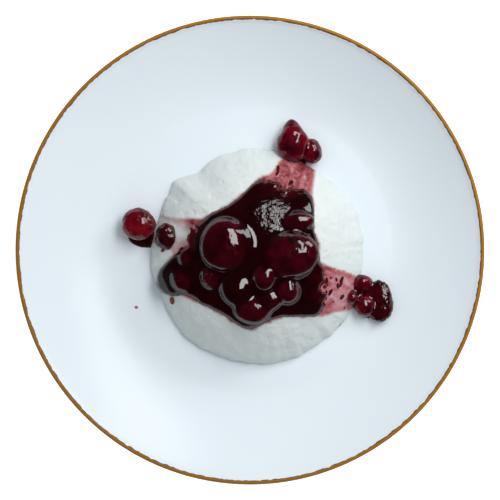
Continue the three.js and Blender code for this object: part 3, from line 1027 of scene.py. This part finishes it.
# Here the syrup only creeps up each fruit, and this much of the skin's outer depth stays bare.
BARE = 0.25
GROUP_MARGIN = 6
GROUP_FILLET = 1.8
PUDDLE_ROUND = 1.5
for group_name, (members, puddles) in GROUPS.items():
    chosen = [one for one in fruit if one.node in members]
    low = np.min([one.middle - one.half.max() for one in chosen], axis=0) - GROUP_MARGIN
    high = np.max([one.middle + one.half.max() for one in chosen], axis=0) + GROUP_MARGIN
    low[2] = FLOOR_Z - 3
    small_sauce = SauceField(low, high, plate_carrier)
    for puddle in puddles:
        small_sauce.pool(*puddle, radius=PUDDLE_ROUND)
    for one in chosen:
        small_sauce.coat(one, BARE, GROUP_FILLET)
    group_surfaces[group_name] = small_sauce.surface()
    print(group_name, "syrup faces:", len(group_surfaces[group_name][1]))


# %% [markdown]
# Boiled cherry syrup is a dark red glass. Where it stands deep it looks black, and only at its thin edges
# does the white below shine through as dark red. So the depth at each corner is stored, and the colour is
# read from it. The surface itself is as smooth as a liquid.


# %% Cherry syrup
def cherry_syrup():
    """Boiled-down cherry syrup: near-black red, redder where thin, and liquid smooth."""
    material, tree, place = new_material("cherry_syrup")
    depth_here = add(tree, "ShaderNodeAttribute", attribute_name="depth").outputs["Fac"]
    deep = add(tree, "ShaderNodeMapRange", {"Value": depth_here, "From Min": 0.1, "From Max": 1.4})
    cloud = add(tree, "ShaderNodeTexNoise", {"Vector": place, "Scale": per_mm(3), "Detail": 4.0})
    body = add(tree, "ShaderNodeMix", {"Factor": cloud, "A": "#090102", "B": "#240205"}, data_type="RGBA")
    tone = add(tree, "ShaderNodeMix", {"Factor": deep, "A": "#52050C", "B": body}, data_type="RGBA")
    # Over a fruit the syrup is a thin film, and the garnet skin shows through it.
    film = add(tree, "ShaderNodeAttribute", attribute_name="film").outputs["Fac"]
    patches = add(tree, "ShaderNodeTexNoise", {"Vector": place, "Scale": per_mm(7), "Detail": 2.0})
    garnet = add(
        tree,
        "ShaderNodeMix",
        {"Factor": patches, "A": "#140105", "B": "#4A0412"},
        data_type="RGBA",
    )
    seen = add(tree, "ShaderNodeMix", {"Factor": film, "A": tone, "B": garnet}, data_type="RGBA")
    bump = add(tree, "ShaderNodeBump", {"Height": cloud, "Strength": 0.12, "Distance": 0.0004})
    # Where pulp lies just under the surface, its fine grain breaks the gloss up.
    pulp = add(tree, "ShaderNodeAttribute", attribute_name="pulp").outputs["Fac"]
    rough = add(tree, "ShaderNodeMapRange", {"Value": pulp, "To Min": 0.05, "To Max": 0.1})
    crumbs = add(tree, "ShaderNodeTexNoise", {"Vector": place, "Scale": per_mm(3.2), "Detail": 3.0})
    grain = add(tree, "ShaderNodeMath", {0: crumbs, 1: pulp}, operation="MULTIPLY")
    coarse = {"Height": grain, "Strength": 0.55, "Distance": 0.002, "Normal": bump}
    grained = add(tree, "ShaderNodeBump", coarse)
    finish = {"Base Color": seen, "Roughness": rough, "IOR": 1.55, "Normal": grained}
    shader = add(tree, "ShaderNodeBsdfPrincipled", finish)
    add(tree, "ShaderNodeOutputMaterial", {"Surface": shader})
    return material


syrup = cherry_syrup()
compote = new_piece("cherry_compote", sauce_corners, sauce_faces, syrup, "sauce", ["compote"])
paint(compote, "depth", sauce_depth)
to_fruit = np.min([one.distance(sauce_corners) for one in on_dome if one.node not in COVERED], axis=0)
# The fruit's flesh shows through the film unevenly.
FILM_REACH = 0.9
GROUP_FILM_REACH = 2.5
PULP_SHOWS = 2.6
PULP_FADE = 0.8
uneven = np.clip(0.75 + 0.7 * fractal(sauce_corners, 6, 2, 41.0), 0.15, 1)
paint(compote, "film", np.clip(1 - (to_fruit - FILM) / FILM_REACH, 0, 1) ** 1.5 * uneven)
shallow = np.clip((PULP_SHOWS - sauce_depth) / PULP_FADE, 0, 1)
paint(compote, "pulp", pulp_patch(sauce_corners[:, 0], sauce_corners[:, 1]) * shallow)
for group_name, (corners, faces, depth) in group_surfaces.items():
    group_syrup = new_piece(group_name + "_syrup", corners, faces, syrup, "sauce")
    paint(group_syrup, "depth", depth)
    members = [one for one in fruit if one.node in GROUPS[group_name][0]]
    near_fruit = np.min([one.distance(corners) for one in members], axis=0)
    paint(group_syrup, "film", np.clip(1 - near_fruit / GROUP_FILM_REACH, 0, 1))

# %% [markdown]
# Last come the drips. A few drops of syrup fell beside the runs, and dabs of dark pulp lie in the right and
# the upper run. Each is a small ball pressed flat on what it lies on. The dabs are longer than they are wide
# and lie at odd angles.


# %% Drops and dabs
def flat_drop(x, y, wide, deep, tall, turn):
    """Corners and faces of a drop that lies on the cream or the plate."""
    directions, faces = fine_ball(3)
    angle = math.radians(turn)
    own = directions * np.array([wide, deep, tall]) / 2
    flat_x = own[:, 0] * math.cos(angle) - own[:, 1] * math.sin(angle)
    flat_y = own[:, 0] * math.sin(angle) + own[:, 1] * math.cos(angle)
    corners = np.column_stack([x + flat_x, y + flat_y, own[:, 2]])
    corners[:, 2] += plate_carrier(corners[:, 0], corners[:, 1])
    return corners, faces


def join(parts):
    """One list of corners and one of faces from several."""
    corners, faces = [], []
    for part_corners, part_faces in parts:
        first = sum(len(c) for c in corners)
        corners.append(part_corners)
        faces += [[first + n for n in face] for face in part_faces]
    return np.concatenate(corners), faces


def drop_of_syrup(name, thin_tone):
    """A thin drop of syrup or pulp, red because the white below shines through it."""
    material, tree, place = new_material(name)
    cloud = add(tree, "ShaderNodeTexNoise", {"Vector": place, "Scale": per_mm(1.5), "Detail": 2.0})
    tone = add(tree, "ShaderNodeMix", {"Factor": cloud, "A": thin_tone, "B": "#5A0C10"}, data_type="RGBA")
    shader = add(tree, "ShaderNodeBsdfPrincipled", {"Base Color": tone, "Roughness": 0.08, "IOR": 1.45})
    add(tree, "ShaderNodeOutputMaterial", {"Surface": shader})
    return material


drips = join([flat_drop(-35.2, -22.9, 2.2, 3.6, 0.9, 10), flat_drop(-39.5, -0.1, 2.4, 1.8, 0.8, 30)])
new_piece("syrup_drips", *drips, drop_of_syrup("brick_red_syrup", "#8E2A20"), "sauce")
speck = flat_drop(-51.6, -26.0, 1.7, 1.4, 0.3, 0)
new_piece("syrup_speck", *speck, drop_of_syrup("thin_pink_syrup", "#C9808A"), "sauce")
rng = np.random.default_rng(12)
FLAT = 0.35
DAB_LENGTHS = (0.7, 3.6)
DAB_WIDTHS = (0.35, 0.6)
DAB_TURNS = (-40, 40)
# Above 1, more of the dabs lie near the thick sauce.
CROWDING = 1.8
dabs = []
# For each run: how many dabs, then its bearings and reaches from the dome's middle.
for dab_count, bearing_span, reach_span in ((13, (-36, -14), (33, 47)), (12, (54, 80), (35, 46))):
    for _ in range(dab_count):
        bearing = rng.uniform(*bearing_span)
        reach = reach_span[0] + (reach_span[1] - reach_span[0]) * rng.uniform() ** CROWDING
        x, y = DOME_MIDDLE + reach * unit(bearing, 0)[:2]
        length = rng.uniform(*DAB_LENGTHS)
        width = length * rng.uniform(*DAB_WIDTHS)
        dabs.append(flat_drop(x, y, width, length, FLAT, rng.uniform(*DAB_TURNS)))
dab_corners, dab_faces = join(dabs)
new_piece("pulp_dabs", dab_corners, dab_faces, drop_of_syrup("dark_cherry_pulp", "#30040A"), "sauce")
print("drips and dabs:", 3 + len(dabs))

# %% [markdown]
# ## The light, the table and the view
# One soft lamp stands at the upper right, low enough to model the dome and to show in the plate's curved
# wall. A fainter one stands low behind it and gives the dome a shaded side. The rest is a pale room whose
# ceiling lights the plate evenly. Mirrored in the syrup, that room is nearly black overhead.

# %% Table
bpy.ops.mesh.primitive_plane_add(size=6)
table_top = bpy.context.object
table_top.name = "table_top"
# The table is a light table: its faint glow takes the plate's shadow away.
TABLE_GLOW = 0.65


def white_paper():
    """Matt white paper with a barely seen fibre."""
    material, tree, place = new_material("white_paper")
    fibre = add(tree, "ShaderNodeTexNoise", {"Vector": place, "Scale": per_mm(2), "Detail": 2.0})
    tone = add(tree, "ShaderNodeMix", {"Factor": fibre, "A": "#F2F2F2", "B": "#F6F6F6"}, data_type="RGBA")
    glow = {"Emission Color": "#FFFFFF", "Emission Strength": TABLE_GLOW}
    shader = add(tree, "ShaderNodeBsdfPrincipled", {"Base Color": tone, "Roughness": 0.9, **glow})
    add(tree, "ShaderNodeOutputMaterial", {"Surface": shader})
    return material


table_top.data.materials.append(white_paper())

# %% Lamp
def soft_lamp(name, bearing, rise, distance, width, height, watts, roll):
    """A rectangular lamp that faces the plate from a bearing and a rise, rolled on its own axis."""
    light = bpy.data.lights.new(name, "AREA")
    light.shape = "RECTANGLE"
    light.size = width
    light.size_y = height
    light.energy = watts
    lamp = bpy.data.objects.new(name, light)
    lamp.location = Vector(unit(bearing, rise)) * distance
    facing = (-lamp.location).to_track_quat("-Z", "Y")
    lamp.rotation_euler = (facing @ Quaternion((0, 0, 1), math.radians(roll))).to_euler()
    bpy.context.scene.collection.objects.link(lamp)


# Each lamp's bearing, rise, distance, width, height, power and roll.
LAMPS = {"soft_lamp": (49, 56, 0.8, 0.62, 0.24, 4.0, -45), "low_lamp": (40, 28, 1.0, 0.4, 0.3, 2.2, 0)}
for lamp_name, placing in LAMPS.items():
    soft_lamp(lamp_name, *placing)

# %% Room light
world = bpy.data.worlds.new("pale_room")
bpy.context.scene.world = world
world.use_nodes = True
room = world.node_tree
room.nodes.clear()
sight = add(room, "ShaderNodeTexCoord").outputs["Generated"]
rise = add(room, "ShaderNodeSeparateXYZ", {"Vector": sight}).outputs["Z"]
soft_sky = add(
    room,
    "ShaderNodeMapRange",
    {"Value": rise, "From Min": 0.0, "From Max": 1.0, "To Min": 0.16, "To Max": 0.64},
)
dark_walls = add(
    room,
    "ShaderNodeMapRange",
    {"Value": rise, "From Min": 0.0, "From Max": 0.5, "To Min": 0.08, "To Max": 0.01},
)
mirrored = add(room, "ShaderNodeLightPath").outputs["Is Glossy Ray"]
parts = {"Factor": mirrored, "A": soft_sky, "B": dark_walls}
strength = add(room, "ShaderNodeMix", parts, data_type="FLOAT")
backdrop = add(room, "ShaderNodeBackground", {"Color": "#F4F8FC", "Strength": strength})
add(room, "ShaderNodeOutputWorld", {"Surface": backdrop})

# %% Camera
CAMERA_HEIGHT = 1.1
ROOM_ROUND_PLATE = 1.065
FRAME_WIDTH = ROOM_ROUND_PLATE * 2 * PLATE_RADIUS * MM
camera_data = bpy.data.cameras.new("overhead_camera")
camera_data.sensor_width = 36
camera_data.lens = camera_data.sensor_width * CAMERA_HEIGHT / FRAME_WIDTH
camera = bpy.data.objects.new("overhead_camera", camera_data)
camera.location = (0, 0, CAMERA_HEIGHT + PLATE_HEIGHT * MM)
camera.rotation_euler = (0, 0, 0)
bpy.context.scene.collection.objects.link(camera)
bpy.context.scene.camera = camera
bpy.context.scene.view_settings.view_transform = "Standard"
print("lens in mm:", round(camera_data.lens, 1))
